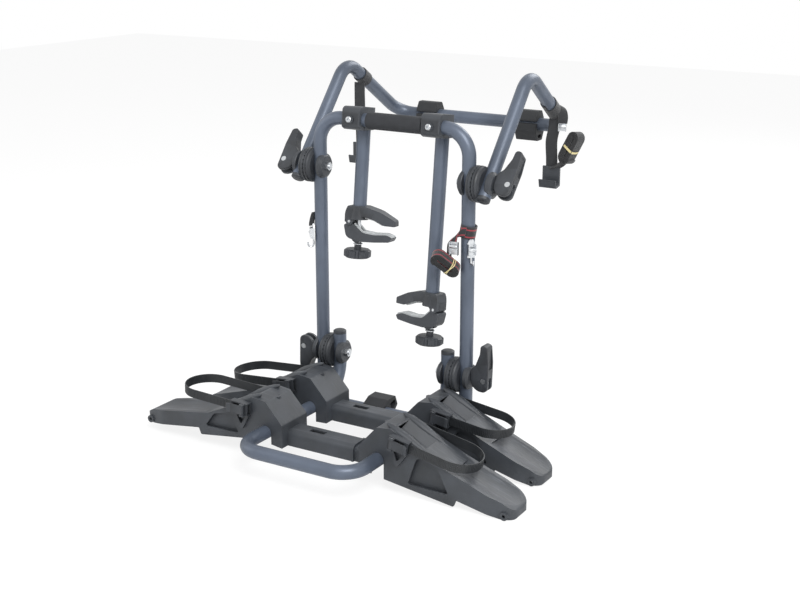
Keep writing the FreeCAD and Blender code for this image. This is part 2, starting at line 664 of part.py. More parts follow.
def beam_outline(shrink):
    """Section of the centre beam, rounded on top."""
    half = BEAM_W / 2 - shrink
    return [(-half, BEAM_LOW, 0), (half, BEAM_LOW, 0), (half, BEAM_TOP - shrink, 12 - shrink),
            (-half, BEAM_TOP - shrink, 12 - shrink)]


def tray_left(y, tip, lift):
    """Left moulding: wheel support and the centre beam with its open mouth."""
    body = tray_half(y, tip, lift).mirror(O, X)
    length = BEAM_END_X + FLANGE_X + TRAY_WALL
    middle = (BEAM_END_X - FLANGE_X - TRAY_WALL) / 2
    beam = prism_x(beam_outline(0), length, middle).translated(V(0, y, 0))
    hollow = prism_x([(a, b if b > BEAM_LOW else -300, r) for a, b, r in beam_outline(TRAY_WALL)],
                     length + 60, middle + 30).translated(V(0, y, 0))
    lip = prism_x(beam_outline(-1.6), 5, BEAM_END_X - 2.5).translated(V(0, y, 0))
    slot = block((-54, y - 7, BEAM_TOP - 8), (-16, y + 7, BEAM_TOP + 8))
    beam = beam.fuse(lip).cut([hollow, slot])
    return body.fuse(beam)


def tray_right(y, tip, lift):
    """Right moulding: wheel support and the tongue that plugs into the beam."""
    shrink = TRAY_WALL + TONGUE_GAP
    length = FLANGE_X + TRAY_WALL - TONGUE_END_X
    middle = (FLANGE_X + TRAY_WALL + TONGUE_END_X) / 2
    tongue = prism_x(beam_outline(shrink), length, middle)
    hollow = prism_x([(a, b if b > BEAM_LOW else -300, r) for a, b, r in beam_outline(shrink + TRAY_WALL)],
                     length + 40, middle - 10)
    step = prism_x(beam_outline(-1.0), 9, FLANGE_X - 4.5)
    step = step.cut(prism_x([(a, b if b > BEAM_LOW else -300, r) for a, b, r in beam_outline(TRAY_WALL)],
                            40, FLANGE_X))
    tongue = tongue.cut(hollow).translated(V(0, y, 0))
    return tray_half(y, tip, lift).fuse(tongue).fuse(step.translated(V(0, y, 0)))


def tray_screw(x, y):
    """Round-headed screw from under the rail up into the tray."""
    low = rail_height(y) - TUBE_R - SEAT_GAP
    head = turned([(0, 0), (0, 6), (2, 5.4), (3.6, 3), (3.6, 0)], V(x, y, low), V(0, 0, -1))
    return head.fuse(rod(SCREW_R, V(x, y, low), V(x, y, low + 2 * TUBE_R + 26)))


# Wheel straps with ratchet buckles

def strap_frame(shape, side, y, slope):
    """From the right-hand strap's own place to its own side and tray."""
    shape = shape.rotated(V(STRAP_START_X, 0, STRAP_Z), Y, slope).translated(V(0, y, 0))
    return shape if side > 0 else shape.mirror(O, X)


def strap_near():
    return -TRAY_W / 2 - SEAT_GAP - BUCKLE_D / 2


def wheel_strap(straight):
    """Stiff toothed band on edge: out from the buckle, round, and back to the tray."""
    near = strap_near()
    far = near + 2 * STRAP_BEND_R
    turn_x = STRAP_START_X + straight
    low = STRAP_Z - STRAP_H / 2
    bodies = []
    for s, y in ((1, near), (-1, far)):
        start = STRAP_START_X - (26 if s > 0 else 18)
        bodies.append(block((start, y - STRAP_T / 2, low), (turn_x, y + STRAP_T / 2, low + STRAP_H)))
    middle = (near + far) / 2
    outer = Part.makeCylinder(STRAP_BEND_R + STRAP_T / 2, STRAP_H, V(turn_x, middle, low))
    inner = Part.makeCylinder(STRAP_BEND_R - STRAP_T / 2, STRAP_H, V(turn_x, middle, low))
    bend = outer.cut(inner).cut(block((0, -200, -200), (turn_x, 200, 200)))
    return bend.multiFuse(bodies).removeSplitter()


def buckle_body():
    """Open-topped buckle case with the V bracket that holds it to the tray."""
    near = -TRAY_W / 2 - SEAT_GAP
    x0 = STRAP_START_X - BUCKLE_L / 2
    low, high = STRAP_Z - BUCKLE_H / 2, STRAP_Z + BUCKLE_H / 2
    case = block((x0, near - BUCKLE_D, low), (x0 + BUCKLE_L, near, high))
    room = block((x0 - 1, near - BUCKLE_D + BUCKLE_WALL, low + BUCKLE_WALL),
                 (x0 + BUCKLE_L + 1, near - BUCKLE_WALL, high - BUCKLE_WALL))
    window = block((x0 + 8, near - BUCKLE_D - 1, low + BUCKLE_WALL),
                   (x0 + BUCKLE_L - 8, near - BUCKLE_WALL, high - BUCKLE_WALL))
    vee = prism_y([(STRAP_START_X - 22, low + 2, 0), (STRAP_START_X + 22, low + 2, 0),
                   (STRAP_START_X + 4, low - 36, 4), (STRAP_START_X - 4, low - 36, 4)], 7, near - 3.5)
    inside = prism_y([(STRAP_START_X - 12, low - 5, 2), (STRAP_START_X + 12, low - 5, 2),
                      (STRAP_START_X, low - 26, 2)], 20, near - 3.5)
    return case.cut([room, window]).fuse(vee.cut(inside))


def buckle_pin():
    near = -TRAY_W / 2 - SEAT_GAP
    x = STRAP_START_X - 13
    y = near - BUCKLE_D - BUCKLE_PIN_OUT
    low = STRAP_Z - BUCKLE_H / 2
    return rod(2.5, V(x, y, low + 1), V(x, y, low + BUCKLE_H - 1))


def buckle_lugs():
    """Two ears on the case's front that carry the pin."""
    near = -TRAY_W / 2 - SEAT_GAP
    x = STRAP_START_X - 13
    low = STRAP_Z - BUCKLE_H / 2
    made = []
    for z in (low, low + BUCKLE_H - 4):
        ear = block((x - 5, near - BUCKLE_D - BUCKLE_PIN_OUT - 4, z), (x + 5, near - BUCKLE_D + 1, z + 4))
        made.append(ear)
    return made


def buckle_lever():
    """Ratchet lever on the case's front; it swings out about the upright pin."""
    near = -TRAY_W / 2 - SEAT_GAP
    x = STRAP_START_X - 13
    y = near - BUCKLE_D - BUCKLE_PIN_OUT
    low = STRAP_Z - BUCKLE_H / 2 + 4 + RUN_GAP
    height = BUCKLE_H - 8 - 2 * RUN_GAP
    plan = [(x, y - 2.8, 0), (x + 30, y - 2.8, 4), (x + 38, y - 6, 0.8), (x + 39, y - 4.2, 0.8),
            (x + 31, y + 0.6, 4), (x, y + 0.6, 0)]
    knuckle = rod(KNUCKLE_R, V(x, y, low), V(x, y, low + height))
    body = prism_z(plan, height, low).fuse(knuckle)
    return body.cut(rod(2.5 + RUN_GAP, V(x, y, low - 50), V(x, y, low + 50)))


# Pads

def pad(reach, back):
    """Moulded block clipped round a cross bar; its face looks along -Z."""
    shoulder = back * 0.4
    corners = [(-PAD_R, shoulder, 10), (-10, back, 7), (10, back, 7), (PAD_R, shoulder, 10),
               (PAD_R + 3, -reach * 0.4, 8), (13, -reach, 4), (-13, -reach, 4),
               (-PAD_R - 3, -reach * 0.4, 8)]
    body = prism_x(corners, PAD_L)
    bar = rod(TUBE_R + RUN_GAP, V(-PAD_L, 0, 0), V(PAD_L, 0, 0))
    clip = block((-PAD_L, -30, 3), (PAD_L, -10, 9))
    pocket = prism_x([(-10, -24, 3), (10, -24, 3), (7, -reach + 6, 3), (-7, -reach + 6, 3)], PAD_L - 8)
    ends = [pocket.translated(V(s * PAD_L / 2, 0, 0)) for s in (-1, 1)]
    return body.cut([bar, clip] + ends)


# Webbing, its hooks and cam buckles

def web_loop(at, along, width, radius, thick):
    """Turn of webbing round a tube."""
    start = at - along.normalize() * (width / 2)
    return ring_face(radius + thick, thick, start, along).extrude(along.normalize() * width)


def flat_web(points, width, thick):
    """Webbing that follows a line in the YZ plane, width along X."""
    left, right = [], []
    for i, p in enumerate(points):
        a = points[max(i - 1, 0)]
        b = points[min(i + 1, len(points) - 1)]
        d = (b - a).normalize()
        n = V(0, -d.z, d.y) * (thick / 2)
        left.append(p + n)
        right.append(p - n)
    ring = left + list(reversed(right))
    face = Part.Face(Part.makePolygon(ring + ring[:1]))
    return face.translated(V(-width / 2, 0, 0)).extrude(V(width, 0, 0))


def upper_strap_place(side):
    """Where a strap is looped round the falling part of the hoop."""
    points = upper_points()
    apex, rear = points[1], points[2]
    return apex + (rear - apex) * UPPER_STRAP_ALONGS[side], rear - apex


def upper_strap(side):
    at, along = upper_strap_place(side)
    radius = TUBE_R + SEAT_GAP
    loop = web_loop(at, along, WEB_W, radius, WEB_T)
    flat = V(0, along.y, along.z).normalize()
    back = at.y + flat.z * (radius + WEB_T / 2)
    top = at.z - flat.y * (radius + WEB_T / 2)
    drop = [V(0, back, top + 1), V(0, back + 1, at.z - 50), V(0, back + 1, at.z - 90),
            V(0, back - 1, at.z - UPPER_STRAP_HANGS[side])]
    web = flat_web(drop, WEB_W, WEB_T).translated(V(at.x, 0, 0))
    tube = rod(radius, at - along, at + along)
    return loop.fuse(web.cut(tube)).cut(tube)


def upper_hook(side):
    """Pressed hook that slips over the edge of the car's tailgate."""
    at, along = upper_strap_place(side)
    top = at.z - UPPER_STRAP_HANGS[side]
    flat = V(0, along.y, along.z).normalize()
    y = at.y + flat.z * (TUBE_R + SEAT_GAP + WEB_T / 2) - 1
    plate = [(y - 3, top + 8, 1), (y + 3, top + 8, 1), (y + 3, top - 36, 3), (y - 20, top - 40, 4),
             (y - 24, top - 20, 1), (y - 20, top - 20, 1), (y - 17, top - 34, 3), (y - 3, top - 31, 3)]
    hook = prism_x(plate, HOOK_W, at.x)
    slot = block((at.x - WEB_W / 2 - 0.5, y - 1.4, top - 0.5), (at.x + WEB_W / 2 + 0.5, y + 2.4, top + 20))
    return hook.cut(slot)


def post_loop(x, height):
    return web_loop(V(x, 0, height), Z, WEB_W, TUBE_R + SEAT_GAP, WEB_T)


def cam_buckle(side, z):
    """Zinc-plated cam buckle with an open hook end, lying on the loop round a post."""
    outline = [(-9, -26, 2), (9, -26, 2), (9, 6, 3), (4, 14, 3), (-4, 14, 3), (-9, 6, 3)]
    plate = prism_y(outline, CAM_BUCKLE_T)
    cheeks = [block((s * 8 - 1, -8, -20), (s * 8 + 1, 1.2, 4)) for s in (-1, 1)]
    roller = rod(4.5, V(-8, -6, -8), V(8, -6, -8))
    hook = bent_tube([V(0, 0, -20), V(0, 0, -40), V(0, -13, -40), V(0, -13, -30)], [0, 6, 6, 0], 2.2, 0)
    body = plate.fuse(cheeks[0]).fuse(cheeks[1]).fuse(roller).fuse(hook)
    reach = TUBE_R + SEAT_GAP + WEB_T + CAM_BUCKLE_T / 2 + 0.02
    turn = side * CAM_BUCKLE_TURN
    return body.translated(V(0, -reach, 0)).rotated(O, Z, turn).translated(V(side * POST_X, 0, z))


def strap_bundle(x, y, z, width, height, folds):
    """Spare webbing folded to and fro and held by a band."""
    depth = 4.0 * folds
    outline = [(-width / 2, -height / 2, 5), (width / 2, -height / 2, 5), (width / 2, height / 2, 5),
               (-width / 2, height / 2, 5)]
    body = prism_y(outline, depth)
    cuts = [block((-width, -depth / 2 + 4.0 * i - 0.4, -height),
                  (width, -depth / 2 + 4.0 * i + 0.4, -height / 2 + 7))
            for i in range(1, folds)]
    return body.cut(cuts).rotated(O, Y, 18).translated(V(x, y, z))


def build():
    # Platform and its hinge ends
    keep("platform_tube", platform_tube())
    rail_top = V(RAIL_X, 0, RAIL_TOP_H)
    keep("platform_end_caps", both_sides(end_cap(rail_top, Z)))
    low_face = V((RAIL_X + POST_X) / 2, 0, 0)
    high_face = V((POST_X + LEG_X) / 2, 0, UPPER_HINGE_H)
    disc = saddle()
    disc_in = disc.mirror(O, X)
    plain = cup()
    plain_in = plain.mirror(O, X)
    groove = platform_run(TUBE_R + SEAT_GAP, 0, 2 * SADDLE_R)
    rail_disc = saddle(groove.translated(low_face * -1).mirror(O, X)).mirror(O, X).translated(low_face)
    rail_cup = cup(groove.translated(V(-RAIL_X, 0, 0)).mirror(O, X)).mirror(O, X).translated(V(RAIL_X, 0, 0))
    keep("platform_saddles", both_sides(rail_disc) + both_sides(rail_cup))
    post_side = [disc.translated(low_face), plain.translated(V(POST_X, 0, 0)),
                 disc_in.translated(high_face), plain_in.translated(V(POST_X, 0, UPPER_HINGE_H))]
    keep("post_saddles", [s for p in post_side for s in both_sides(p)])
    leg_side = [tilt(disc, LEG_TILT).translated(high_face),
                tilt(plain, LEG_TILT).translated(V(LEG_X, 0, UPPER_HINGE_H))]
    keep("leg_saddles", [s for p in leg_side for s in both_sides(p)])

    # Trays, screws, straps and buckles
    for name, y in zip(("front", "rear"), TRAY_YS):
        keep(name + "_tray_left", tray_left(y, *TIPS[name + "_left"]))
        keep(name + "_tray_right", tray_right(y, *TIPS[name + "_right"]))
    keep("tray_screws", [tray_screw(x, y) for y in TRAY_YS for x in (-RAIL_X, RAIL_X)])
    case, lever = buckle_body().multiFuse(buckle_lugs()), buckle_lever()
    pin = buckle_pin()
    case = case.cut(rod(2.5 + FIT_GAP, V(pin.CenterOfMass.x, pin.CenterOfMass.y, -200),
                        V(pin.CenterOfMass.x, pin.CenterOfMass.y, 200)))
    cases, pins = [], []
    for name, y in zip(("front", "rear"), TRAY_YS):
        for hand, side in (("left", -1), ("right", 1)):
            straight, slope = STRAPS[name + "_" + hand]
            keep(name + "_strap_" + hand, strap_frame(wheel_strap(straight), side, y, slope))
            keep(name + "_buckle_lever_" + hand, strap_frame(lever, side, y, slope))
            cases.append(strap_frame(case, side, y, slope))
            pins.append(strap_frame(pin, side, y, slope))
    keep("buckle_cases", cases)
    keep("buckle_pins", pins)

    # Main frame
    keep("main_frame_tube", main_tube())
    foam_start = ARM_LEFT_X + BRACKET_W / 2 + FOAM_GAP_LEFT
    foam_end = ARM_RIGHT_X - BRACKET_W / 2 - FOAM_GAP_RIGHT
    foam = turned([(0, TUBE_R + SEAT_GAP), (0, FOAM_R - 1), (1, FOAM_R), (foam_end - foam_start - 1, FOAM_R),
                   (foam_end - foam_start, FOAM_R - 1), (foam_end - foam_start, TUBE_R + SEAT_GAP)],
                  V(foam_start, 0, TOP_BAR_H), X)
    keep("foam_sleeve", foam)
    lower = [s for p in hinge_hardware(RAIL_X, POST_X) for s in both_sides(p)]
    keep("lower_hinge_bolts", lower)
    upper = []
    for p in hinge_hardware(POST_X, LEG_X):
        upper += both_sides(tilt(p, LEG_TILT).translated(UPPER_HINGE))
    keep("upper_hinge_bolts", upper)

    # Cam levers
    blade = cam_lever()
    low_right = blade.translated(V(POST_X + PIN_OUT, 0, 0))
    keep("lower_lever_right", low_right)
    keep("lower_lever_left", tilt(blade, 180).translated(V(POST_X + PIN_OUT, 0, 0)).mirror(O, X))
    high = tilt(blade, LEG_TILT).translated(V(LEG_X + PIN_OUT, 0, UPPER_HINGE_H))
    keep("upper_lever_right", high)
    keep("upper_lever_left", high.mirror(O, X))

    # Arms and claws
    claw = pieces_of_claw()
    arms = (("left", ARM_LEFT_X, ARM_LEFT_DROP, 1), ("right", ARM_RIGHT_X, ARM_RIGHT_DROP, -1))
    for hand, x, drop, inwards in arms:
        keep("bracket_" + hand, lean(bracket(inwards).translated(V(x, 0, 0))))
        keep("bracket_bolt_" + hand, lean(bracket_bolt().translated(V(x, 0, 0))))
        keep("arm_" + hand, lean(arm_tube(drop).translated(V(x, 0, 0))))
        for piece in ("body", "upper_liner", "jaw", "lower_liner", "washer", "knob"):
            keep("claw_" + piece + "_" + hand, place_claw(claw[piece], x, drop, inwards))
        keep("claw_hardware_" + hand, [place_claw(s, x, drop, inwards) for s in claw["hardware"]])

    # Upper frame
    keep("upper_frame_tube", upper_tube())
    foot = upper_points()[0]
    keep("leg_end_caps", both_sides(end_cap(foot, leg_direction() * -1)))
    rubber, low_rubber = pad(UPPER_PAD_REACH, UPPER_PAD_BACK), pad(PAD_REACH, PAD_BACK)
    rear_bar = V(0, REAR_BAR_Y, UPPER_HINGE_H + REAR_BAR_RISE)
    for hand, x in (("left", -UPPER_PAD_X), ("right", UPPER_PAD_X)):
        keep("upper_pad_" + hand, rubber.translated(rear_bar + V(x, 0, 0)))
    for hand, x in zip(("left", "right"), LOW_PAD_XS):
        turned_pad = tilt(low_rubber, 112)
        keep("lower_pad_" + hand, turned_pad.translated(V(x, 0, -LOW_BAR_DROP)))
    keep("upper_straps", [upper_strap(0).mirror(O, X), upper_strap(1)])
    keep("upper_strap_hooks", [upper_hook(0).mirror(O, X), upper_hook(1)])

    # Straps on the posts
    right_loop = post_loop(POST_X, POST_STRAP_H)
    left_loop = post_loop(-POST_X, POST_STRAP_H - 12)
    front = -TUBE_R - SEAT_GAP - WEB_T
    bundle = strap_bundle(POST_X - 42, front - 5.5, POST_STRAP_H - 58, 26, 50, 3)
    tail = [(POST_X + 3, POST_STRAP_H + 12, 0), (POST_X + 3, POST_STRAP_H - 12, 0),
            (POST_X - 48, POST_STRAP_H - 50, 4), (POST_X - 48, POST_STRAP_H - 25, 4)]
    tail = prism_y(tail, WEB_T, front)
    keep("post_straps", [right_loop.fuse(tail).fuse(bundle), left_loop])
    keep("post_strap_buckles", [cam_buckle(1, POST_STRAP_H - 20), cam_buckle(-1, POST_STRAP_H - 34)])


def stand_shift():
    """Move that puts the middle of the rack's underside at the origin."""
    box = FreeCAD.BoundBox()
    for part in PARTS.values():
        box.add(part.BoundBox)
    return V(-(box.XMin + box.XMax) / 2, -(box.YMin + box.YMax) / 2, -box.ZMin)


build()
STAND = stand_shift()
print("moved by", STAND)
os.makedirs("parts", exist_ok=True)
for node, shape in PARTS.items():
    shape = shape.translated(STAND)
    shape.exportStep(os.path.join("parts", node + ".step"))
    bad = [s for s in shape.Solids if not s.isValid() or s.Volume <= 0]
    box = shape.BoundBox
    print("%-26s solids %2d faces %4d volume %10.0f  x %7.1f %7.1f  y %7.1f %7.1f  z %7.1f %7.1f%s" % (
        node, len(shape.Solids), len(shape.Faces), sum(s.Volume for s in shape.Solids), box.XMin, box.XMax,
        box.YMin, box.YMax, box.ZMin, box.ZMax, "  BAD" if bad else ""))
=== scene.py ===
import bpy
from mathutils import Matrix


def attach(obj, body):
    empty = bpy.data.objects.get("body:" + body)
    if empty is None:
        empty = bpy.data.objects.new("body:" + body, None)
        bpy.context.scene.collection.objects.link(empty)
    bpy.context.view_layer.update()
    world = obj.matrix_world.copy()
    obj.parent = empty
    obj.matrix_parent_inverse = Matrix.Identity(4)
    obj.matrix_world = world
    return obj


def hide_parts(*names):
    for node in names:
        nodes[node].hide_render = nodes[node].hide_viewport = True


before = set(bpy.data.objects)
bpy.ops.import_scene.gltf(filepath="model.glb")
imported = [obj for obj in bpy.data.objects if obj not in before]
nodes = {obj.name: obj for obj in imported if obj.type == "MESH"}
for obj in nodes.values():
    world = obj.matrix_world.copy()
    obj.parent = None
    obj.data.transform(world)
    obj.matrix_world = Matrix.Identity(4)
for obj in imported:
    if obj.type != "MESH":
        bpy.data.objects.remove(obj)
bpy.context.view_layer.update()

import math
import bpy
from mathutils import Matrix, Vector

# The lower hinge axis of the rack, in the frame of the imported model
HINGE = Vector((0.020, -0.005141, 0.165))


def spot(x, y, z):
    """A place given in millimetres from the middle of the lower hinge axis."""
    return HINGE + Vector((x, y, z)) / 1000


# Bent frames: three hoops of 30 mm steel tube, cold bent round a former and powder coated.
# The coat is a satin anthracite with a blue cast, baked to a faint orange peel.

def tint(code):
    parts = [int(code[i:i + 2], 16) / 255 for i in (1, 3, 5)]
    return [c / 12.92 if c <= 0.04045 else ((c + 0.055) / 1.055) ** 2.4 for c in parts] + [1.0]


def put(tree, kind, values=None, links=None, **settings):
    node = tree.nodes.new(kind)
    for name, value in settings.items():
        setattr(node, name, value)
    for socket, value in (values or {}).items():
        node.inputs[socket].default_value = value
    for socket, source in (links or {}).items():
        tree.links.new(source, node.inputs[socket])
    return node


def new_finish(name):
    finish = bpy.data.materials.new(name)
    finish.use_nodes = True
    return finish, finish.node_tree, finish.node_tree.nodes["Principled BSDF"]


def cloudy(tree, place, scale, detail, dark, light, low=0.0, high=1.0):
    """Two tones in soft clouds; gives the clouds and their colour."""
    cloud = put(tree, "ShaderNodeTexNoise", {"Scale": scale, "Detail": detail}, {"Vector": place})
    tone = put(tree, "ShaderNodeValToRGB", links={"Fac": cloud.outputs["Fac"]})
    for stop, position, code in zip(tone.color_ramp.elements, (low, high), (dark, light)):
        stop.position = position
        stop.color = tint(code)
    return cloud.outputs["Fac"], tone.outputs["Color"]


def wear(finish, *names):
    for name in names:
        obj = nodes[name] if isinstance(name, str) else name
        obj.data.materials.clear()
        obj.data.materials.append(finish)


powder_coat, tree, shader = new_finish("satin_powder_coat_on_steel")
place = put(tree, "ShaderNodeTexCoord").outputs["Object"]
# cloudy change of tone over a hand's breadth, as a sprayed coat has
cloud, colour = cloudy(tree, place, 9.0, 3.0, "#4d5562", "#5e6776", 0.3, 0.7)
# orange peel, 1.5 mm from crest to crest
peel = put(tree, "ShaderNodeTexNoise", {"Scale": 650.0, "Detail": 2.0}, {"Vector": place}).outputs["Fac"]
bump = put(tree, "ShaderNodeBump", {"Strength": 0.22, "Distance": 0.0003}, {"Height": peel})
tree.links.new(bump.outputs["Normal"], shader.inputs["Normal"])
gloss = put(tree, "ShaderNodeMapRange", {"To Min": 0.33, "To Max": 0.45}, {"Value": cloud})
tree.links.new(gloss.outputs["Result"], shader.inputs["Roughness"])
tree.links.new(colour, shader.inputs["Base Color"])
shader.inputs["Metallic"].default_value = 0.25
wear(powder_coat, "platform_tube", "main_frame_tube", "upper_frame_tube", "arm_left", "arm_right")


# Hinge saddles, cups, end caps, levers, brackets and claws: injection-moulded glass-filled nylon.
# The mould is spark-eroded, which leaves a fine even grain; raised edges are painted a little paler, a
# painted highlight.

nylon, tree, shader = new_finish("glass_filled_nylon_moulded")
place = put(tree, "ShaderNodeTexCoord").outputs["Object"]
colour = cloudy(tree, place, 22.0, 4.0, "#232528", "#303338", 0.3, 0.72)[1]
# raised edges painted paler: a painted highlight where the edges catch the light
edge = put(tree, "ShaderNodeNewGeometry").outputs["Pointiness"]
painted_edge_highlight = put(tree, "ShaderNodeMapRange", {"From Min": 0.52, "From Max": 0.6, "To Max": 0.35}, {"Value": edge})
mix = put(tree, "ShaderNodeMix", data_type="RGBA")
tree.links.new(painted_edge_highlight.outputs["Result"], mix.inputs["Factor"])
tree.links.new(colour, mix.inputs[6])
# colour of the painted edge highlight
mix.inputs[7].default_value = tint("#4c5056")
grain = put(tree, "ShaderNodeTexNoise", {"Scale": 1100.0, "Detail": 1.0}, {"Vector": place}).outputs["Fac"]
bump = put(tree, "ShaderNodeBump", {"Strength": 0.3, "Distance": 0.0002}, {"Height": grain})
tree.links.new(bump.outputs["Normal"], shader.inputs["Normal"])
tree.links.new(mix.outputs[2], shader.inputs["Base Color"])
shader.inputs["Roughness"].default_value = 0.5
black_parts = [name for name in nodes if name.startswith((
    "platform_end", "platform_saddles", "post_saddles", "leg_", "lower_lever", "upper_lever",
    "bracket_left", "bracket_right", "claw_body", "claw_jaw", "claw_knob", "upper_strap_hooks",
    "buckle_cases", "front_buckle", "rear_buckle"))]
wear(nylon, *black_parts)


# Hinge bolts, screws, pins and buckles: cold-headed steel with a bright zinc plate.
# Zinc shows a soft silvery sheen with faint cloudy patches rather than a mirror.

zinc, tree, shader = new_finish("bright_zinc_plated_steel")
place = put(tree, "ShaderNodeTexCoord").outputs["Object"]
cloud, colour = cloudy(tree, place, 160.0, 4.0, "#aeb2b6", "#e2e4e6")
gloss = put(tree, "ShaderNodeMapRange", {"To Min": 0.22, "To Max": 0.4}, {"Value": cloud})
tree.links.new(gloss.outputs["Result"], shader.inputs["Roughness"])
tree.links.new(colour, shader.inputs["Base Color"])
shader.inputs["Metallic"].default_value = 1.0
wear(zinc, *[name for name in nodes if "screws" in name or "bolt" in name or "hardware" in name
             or name in ("buckle_pins", "post_strap_buckles") or "washer" in name])


# Bike trays: open-bottomed mouldings of grained polypropylene, softer and greyer than the nylon.
# Tyres drag grit along the wings, which leaves long pale streaks; they are painted only on faces that point
# up, so they are partly scuffs and partly a painted sheen on the top faces.
# Two rounded fingers stand beside the groove of each ramp and guide the wheel into it.

tray_plastic, tree, shader = new_finish("polypropylene_moulded_grained")
place = put(tree, "ShaderNodeTexCoord").outputs["Object"]
colour = cloudy(tree, place, 14.0, 5.0, "#303337", "#40444a", 0.3, 0.7)[1]
# streaks about 4 mm apart across the tray and 110 mm long
drawn = put(tree, "ShaderNodeMapping", {"Scale": (9.0, 240.0, 60.0)}, {"Vector": place})
streak = put(tree, "ShaderNodeTexNoise", {"Scale": 1.0, "Detail": 3.0}, {"Vector": drawn.outputs["Vector"]})
streak = streak.outputs["Fac"]
scuff = put(tree, "ShaderNodeMapRange", {"From Min": 0.54, "From Max": 0.78, "To Max": 0.42},
            {"Value": streak})
# the pale streaks are kept to faces that point up: scuffs together with a painted sheen where the top
# catches the light
normal = put(tree, "ShaderNodeNewGeometry").outputs["Normal"]
facing = put(tree, "ShaderNodeSeparateXYZ", links={"Vector": normal})
painted_sheen_on_top = put(tree, "ShaderNodeMapRange", {"From Min": 0.55, "From Max": 0.95},
             {"Value": facing.outputs["Z"]})
scuffs_and_painted_sheen = put(tree, "ShaderNodeMath", operation="MULTIPLY")
tree.links.new(scuff.outputs["Result"], scuffs_and_painted_sheen.inputs[0])
tree.links.new(painted_sheen_on_top.outputs["Result"], scuffs_and_painted_sheen.inputs[1])
mix = put(tree, "ShaderNodeMix", data_type="RGBA")
tree.links.new(scuffs_and_painted_sheen.outputs["Value"], mix.inputs["Factor"])
tree.links.new(colour, mix.inputs[6])
# colour of the pale scuffs and painted sheen
mix.inputs[7].default_value = tint("#7b8087")
grain = put(tree, "ShaderNodeTexNoise", {"Scale": 900.0, "Detail": 2.0}, {"Vector": place}).outputs["Fac"]
ridge = put(tree, "ShaderNodeMath", {1: 0.5}, {0: streak}, operation="MULTIPLY_ADD")
tree.links.new(grain, ridge.inputs[2])
bump = put(tree, "ShaderNodeBump", {"Strength": 0.3, "Distance": 0.0003},
           {"Height": ridge.outputs["Value"]})
tree.links.new(bump.outputs["Normal"], shader.inputs["Normal"])
gloss = put(tree, "ShaderNodeMapRange", {"To Min": 0.42, "To Max": 0.58}, {"Value": streak})
tree.links.new(gloss.outputs["Result"], shader.inputs["Roughness"])
tree.links.new(mix.outputs[2], shader.inputs["Base Color"])
wear(tray_plastic, "front_tray_left", "front_tray_right", "rear_tray_left", "rear_tray_right")


def settle(piece, name, body, slot, finish, *stands_for, angle=35):
    """Apply what a piece still carries, dress it and hang it on its body."""
    piece.name = name
    piece.data.name = name
    bpy.ops.object.select_all(action="DESELECT")
    piece.select_set(True)
    bpy.context.view_layer.objects.active = piece
    for modifier in [m.name for m in piece.modifiers]:
        bpy.ops.object.modifier_apply(modifier=modifier)
    bpy.ops.object.transform_apply(location=True, rotation=True, scale=True)
    bpy.ops.object.shade_smooth_by_angle(angle=math.radians(angle))
    wear(finish, piece)
    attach(piece, body)
    if stands_for:
        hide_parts(*stands_for)


def twin(piece):
    """A copy with its own mesh."""
    copy = piece.copy()
    copy.data = piece.data.copy()
    bpy.context.collection.objects.link(copy)
    return copy


# across the rack, the middle of each tray from the hinge axis, in millimetres
tray_rows = {"front": -248.0, "rear": -79.0}
hands = (("left", -1), ("right", 1))
# half sizes of a finger and its place in metres, and the ramp's slope in degrees
half_long, half_wide, half_deep = 0.062, 0.0105, 0.0085
finger_x, finger_y, finger_z = 0.2125, 0.033, -0.0465
ramp_slope = 26.5
bpy.ops.object.select_all(action="DESELECT")
bpy.ops.mesh.primitive_uv_sphere_add(segments=20, ring_count=12, radius=1.0, rotation=(0, math.pi / 2, 0))
finger = bpy.context.object
bpy.ops.object.transform_apply(rotation=True)
# blunt at both ends, 24 mm wide at the tower and 13 mm at the foot of the ramp
for vertex in finger.data.vertices:
    slim = 1.0 - 0.38 * max(vertex.co.x, -0.4)
    full = math.copysign(abs(vertex.co.x) ** 1.25, vertex.co.x)
    vertex.co = Vector((full * half_long, vertex.co.y * half_wide * slim, vertex.co.z * half_deep * slim))
for row, across in tray_rows.items():
    for hand, side in hands:
        for edge, offset in (("near", -finger_y), ("far", finger_y)):
            guide = twin(finger)
            guide.data.transform(Matrix.Rotation(math.radians(ramp_slope), 4, "Y"))
            guide.data.transform(Matrix.Translation(Vector((finger_x, offset, finger_z))))
            if side < 0:
                guide.data.transform(Matrix.Scale(-1, 4, (1, 0, 0)))
                guide.data.flip_normals()
            guide.data.transform(Matrix.Translation(spot(0, across, 0)))
            name = "%s_ramp_finger_%s_%s" % (row, hand, edge)
            settle(guide, name, "platform", "tray_plastic", tray_plastic, angle=60)
bpy.data.objects.remove(finger)


# Wheel straps: stiff ladder straps moulded in a tough, slightly glossy plastic. Low ribs 4 mm apart
# cross the outside for the ratchet's pawl, and a plain margin runs along both edges.

strap_plastic, tree, shader = new_finish("ladder_strap_moulded_polyurethane")
place = put(tree, "ShaderNodeTexCoord").outputs["Object"]
cloud, colour = cloudy(tree, place, 40.0, 3.0, "#1f2124", "#2e3134")
gloss = put(tree, "ShaderNodeMapRange", {"To Min": 0.34, "To Max": 0.48}, {"Value": cloud})
tree.links.new(gloss.outputs["Result"], shader.inputs["Roughness"])
tree.links.new(colour, shader.inputs["Base Color"])


def edit_faces():
    """Edit mode on faces, with nothing selected."""
    bpy.ops.object.mode_set(mode="EDIT")
    bpy.ops.mesh.select_all(action="DESELECT")
    bpy.ops.mesh.select_mode(type="FACE")


def pick_faces(piece, wanted):
    """Mark the wanted faces in object mode and go back into edit mode."""
    bpy.ops.object.mode_set(mode="OBJECT")
    for face in piece.data.polygons:
        face.select = wanted(face)
    bpy.ops.object.mode_set(mode="EDIT")


